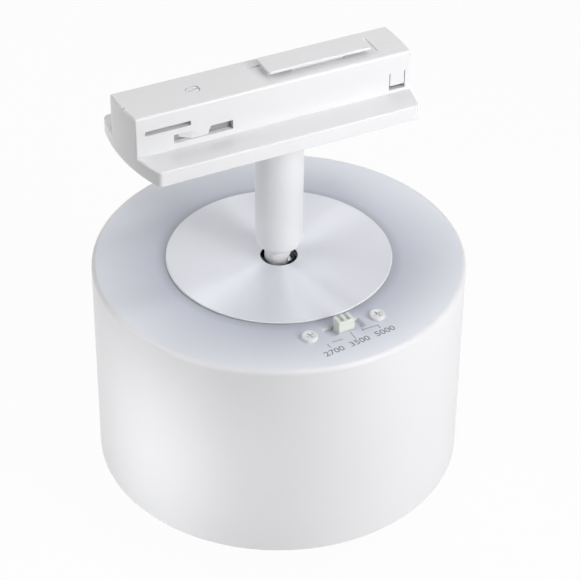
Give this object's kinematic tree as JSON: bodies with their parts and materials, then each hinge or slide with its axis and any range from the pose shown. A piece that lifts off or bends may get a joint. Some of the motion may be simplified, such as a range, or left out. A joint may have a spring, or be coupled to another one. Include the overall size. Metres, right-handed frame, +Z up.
{
  "type": "track light",
  "caption": "White track light: plug-in track adapter on a flange, swivel stem, tilting drum head with a cover disc, a colour-temperature slide selector and an opal diffuser below.",
  "frame": {"origin": "on the stem's axis, in the top plane of the adapter's flange, where the ceiling track's edges seat", "axes": "+Z up into the track along the stem's axis, +X along the adapter towards its snap tab, -Y towards the colour-temperature selector; the head hangs below"},
  "size_m": [0.11, 0.11, 0.1329],
  "materials": {
    "white_moulded_plastic": "moulded, fine satin",
    "white_paint": "white satin powder coat",
    "gloss_white_paint": "white gloss enamel",
    "black_paint": "black satin paint",
    "cream_plastic": "moulded",
    "zinc_plated_steel": "bright zinc",
    "tinned_brass": "stamped strip, tin plated",
    "copper_wire": "enamelled wire",
    "aluminium": "mill finish",
    "circuit_board": "solder mask",
    "black_plastic": "moulded",
    "fibre_sheet": "pressed fibre",
    "grey_sheath": "extruded sheath",
    "opal_plastic": "opal, satin"
  },
  "bodies": {
    "track_adapter": {"adapter_base": "white_moulded_plastic", "adapter_cover": "white_moulded_plastic", "cover_screw": "white_moulded_plastic", "contact_carrier": "white_moulded_plastic", "contact_strip_near": "tinned_brass", "contact_strip_far": "tinned_brass", "adapter_lead_near": "copper_wire", "adapter_lead_far": "copper_wire", "lock_spring_near": "zinc_plated_steel", "lock_spring_far": "zinc_plated_steel", "pad_spring": "zinc_plated_steel", "swivel_washer": "zinc_plated_steel"},
    "lock_near": {"lock_tongue_near": "white_moulded_plastic"},
    "lock_far": {"lock_tongue_far": "white_moulded_plastic"},
    "pad": {"pressure_pad": "white_moulded_plastic"},
    "stem": {"stem_tube": "white_paint", "stem_nipple": "zinc_plated_steel", "stem_nut": "zinc_plated_steel", "knuckle": "white_paint", "stem_cable": "grey_sheath"},
    "lamp_head": {"canopy_disc": "gloss_white_paint", "disc_nut_left": "zinc_plated_steel", "disc_nut_right": "zinc_plated_steel", "pivot_bracket": "black_paint", "pivot_pin_left": "zinc_plated_steel", "pivot_pin_right": "zinc_plated_steel", "friction_washer_left": "fibre_sheet", "friction_washer_right": "fibre_sheet", "drum_shell": "white_paint", "switch_body": "white_moulded_plastic", "switch_screw_left": "white_paint", "switch_screw_right": "white_paint", "driver_board": "circuit_board", "driver_standoff_1": "zinc_plated_steel", "driver_standoff_2": "zinc_plated_steel", "driver_standoff_3": "zinc_plated_steel", "transformer": "black_plastic", "capacitor_tall": "black_plastic", "capacitor_short": "black_plastic", "choke": "copper_wire", "terminal_block": "grey_sheath", "insulating_sheet": "fibre_sheet", "heat_spreader": "aluminium", "spreader_screw_1": "zinc_plated_steel", "spreader_screw_2": "zinc_plated_steel", "spreader_screw_3": "zinc_plated_steel", "led_board": "aluminium", "reflector": "white_moulded_plastic", "diffuser": "opal_plastic", "bezel_ring": "white_paint", "driver_cable": "grey_sheath", "led_cable": "grey_sheath", "selector_cable": "grey_sheath"},
    "selector": {"selector_knob": "cream_plastic"}
  },
  "joints": [
    {"name": "stem_swivel", "type": "hinge", "parent": "track_adapter", "child": "stem", "pos_m": [0, 0, 0], "axis": [0, 0, 1], "range_deg": [-175, 175]},
    {"name": "head_tilt", "type": "hinge", "parent": "stem", "child": "lamp_head", "pos_m": [0, 0, -0.0543], "axis": [1, 0, 0], "range_deg": [-20, 20]},
    {"name": "selector_slide", "type": "slide", "parent": "lamp_head", "child": "selector", "axis": [0.9996, 0.0279, 0], "range_m": [-0.003, 0.003]},
    {"name": "lock_near_press", "type": "slide", "parent": "track_adapter", "child": "lock_near", "axis": [0, 1, 0], "range_m": [0, 0.0015], "stiffness_N_per_m": 1500, "deforming": ["lock_spring_near"]},
    {"name": "lock_far_press", "type": "slide", "parent": "track_adapter", "child": "lock_far", "axis": [0, -1, 0], "range_m": [0, 0.0015], "stiffness_N_per_m": 1500, "deforming": ["lock_spring_far"]},
    {"name": "pad_press", "type": "slide", "parent": "track_adapter", "child": "pad", "axis": [0, 0, 1], "range_m": [-0.001, 0], "stiffness_N_per_m": 3000, "deforming": ["pad_spring"]}
  ]
}
